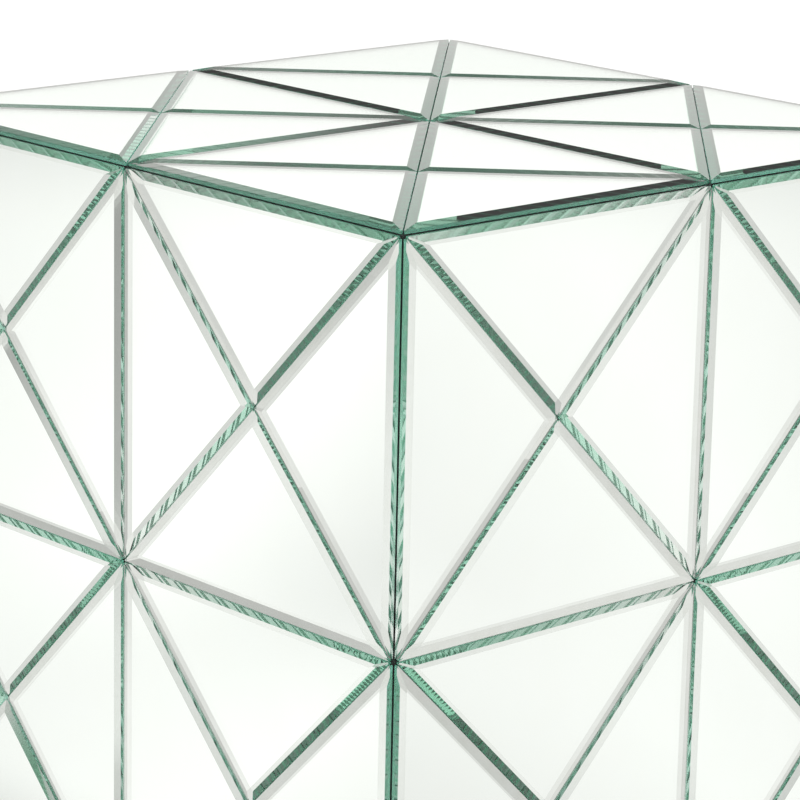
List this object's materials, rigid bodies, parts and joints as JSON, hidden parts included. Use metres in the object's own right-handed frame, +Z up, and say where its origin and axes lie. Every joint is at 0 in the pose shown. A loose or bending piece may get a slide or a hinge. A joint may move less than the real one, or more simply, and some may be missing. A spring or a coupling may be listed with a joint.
{
  "type": "mirrored cube side table",
  "caption": "Cube side table clad in bevelled triangular mirror tiles that meet at the middle of square cells, on low levelling feet.",
  "frame": {"origin": "on the floor, under the middle of the cube, with the levelling feet screwed all the way in", "axes": "+Z up; the front is -Y (the face on the left of the picture) and +X is the right side (the face on the right of the picture)"},
  "size_m": [0.5086, 0.5086, 0.5163],
  "materials": {
    "mirror_glass": "polished float glass, silvered behind, faintly green, with a polished bevel along every edge",
    "adhesive_film": "thin mirror adhesive film",
    "black_board": "fibreboard, painted matt black outside",
    "pine": "planed softwood, bare",
    "zinc_steel": "bright zinc plate",
    "black_nylon": "moulded nylon, fine grain"
  },
  "bodies": {
    "root": {"front_lower_left_tiles": "mirror_glass", "front_lower_right_tiles": "mirror_glass", "front_upper_left_tiles": "mirror_glass", "front_upper_right_tiles": "mirror_glass", "right_lower_left_tiles": "mirror_glass", "right_lower_right_tiles": "mirror_glass", "right_upper_left_tiles": "mirror_glass", "right_upper_right_tiles": "mirror_glass", "back_lower_left_tiles": "mirror_glass", "back_lower_right_tiles": "mirror_glass", "back_upper_left_tiles": "mirror_glass", "back_upper_right_tiles": "mirror_glass", "left_lower_left_tiles": "mirror_glass", "left_lower_right_tiles": "mirror_glass", "left_upper_left_tiles": "mirror_glass", "left_upper_right_tiles": "mirror_glass", "top_front_left_tiles": "mirror_glass", "top_front_right_tiles": "mirror_glass", "top_back_left_tiles": "mirror_glass", "top_back_right_tiles": "mirror_glass", "front_film": "adhesive_film", "right_film": "adhesive_film", "back_film": "adhesive_film", "left_film": "adhesive_film", "top_film": "adhesive_film", "top_panel": "black_board", "base_panel": "black_board", "front_panel": "black_board", "right_panel": "black_board", "back_panel": "black_board", "left_panel": "black_board", "front_left_post": "pine", "front_right_post": "pine", "back_left_post": "pine", "back_right_post": "pine", "top_front_batten": "pine", "top_right_batten": "pine", "top_back_batten": "pine", "top_left_batten": "pine", "base_front_batten": "pine", "base_right_batten": "pine", "base_back_batten": "pine", "base_left_batten": "pine", "side_screws": "zinc_steel", "top_screws": "zinc_steel", "base_screws": "zinc_steel", "foot_blocks": "pine", "t_nuts": "zinc_steel"},
    "front_left_pad": {"front_left_foot_pad": "black_nylon"},
    "front_left_stem": {"front_left_foot_stem": "zinc_steel"},
    "front_right_pad": {"front_right_foot_pad": "black_nylon"},
    "front_right_stem": {"front_right_foot_stem": "zinc_steel"},
    "back_left_pad": {"back_left_foot_pad": "black_nylon"},
    "back_left_stem": {"back_left_foot_stem": "zinc_steel"},
    "back_right_pad": {"back_right_foot_pad": "black_nylon"},
    "back_right_stem": {"back_right_foot_stem": "zinc_steel"}
  },
  "joints": [
    {"name": "front_left_level", "type": "slide", "parent": "root", "child": "front_left_pad", "axis": [0, 0, -1], "range_m": [0, 0.01]},
    {"name": "front_left_turn", "type": "hinge", "parent": "front_left_pad", "child": "front_left_stem", "pos_m": [-0.18, -0.18, 0.0092], "axis": [0, 0, -1], "range_deg": [0, 2880]},
    {"name": "front_right_level", "type": "slide", "parent": "root", "child": "front_right_pad", "axis": [0, 0, -1], "range_m": [0, 0.01]},
    {"name": "front_right_turn", "type": "hinge", "parent": "front_right_pad", "child": "front_right_stem", "pos_m": [0.18, -0.18, 0.0092], "axis": [0, 0, -1], "range_deg": [0, 2880]},
    {"name": "back_left_level", "type": "slide", "parent": "root", "child": "back_left_pad", "axis": [0, 0, -1], "range_m": [0, 0.01]},
    {"name": "back_left_turn", "type": "hinge", "parent": "back_left_pad", "child": "back_left_stem", "pos_m": [-0.18, 0.18, 0.0092], "axis": [0, 0, -1], "range_deg": [0, 2880]},
    {"name": "back_right_level", "type": "slide", "parent": "root", "child": "back_right_pad", "axis": [0, 0, -1], "range_m": [0, 0.01]},
    {"name": "back_right_turn", "type": "hinge", "parent": "back_right_pad", "child": "back_right_stem", "pos_m": [0.18, 0.18, 0.0092], "axis": [0, 0, -1], "range_deg": [0, 2880]}
  ],
  "couplings": [
    {"joint": "front_left_turn", "follows": "front_left_level", "rad_per_m": 5026.5},
    {"joint": "front_right_turn", "follows": "front_right_level", "rad_per_m": 5026.5},
    {"joint": "back_left_turn", "follows": "back_left_level", "rad_per_m": 5026.5},
    {"joint": "back_right_turn", "follows": "back_right_level", "rad_per_m": 5026.5}
  ]
}
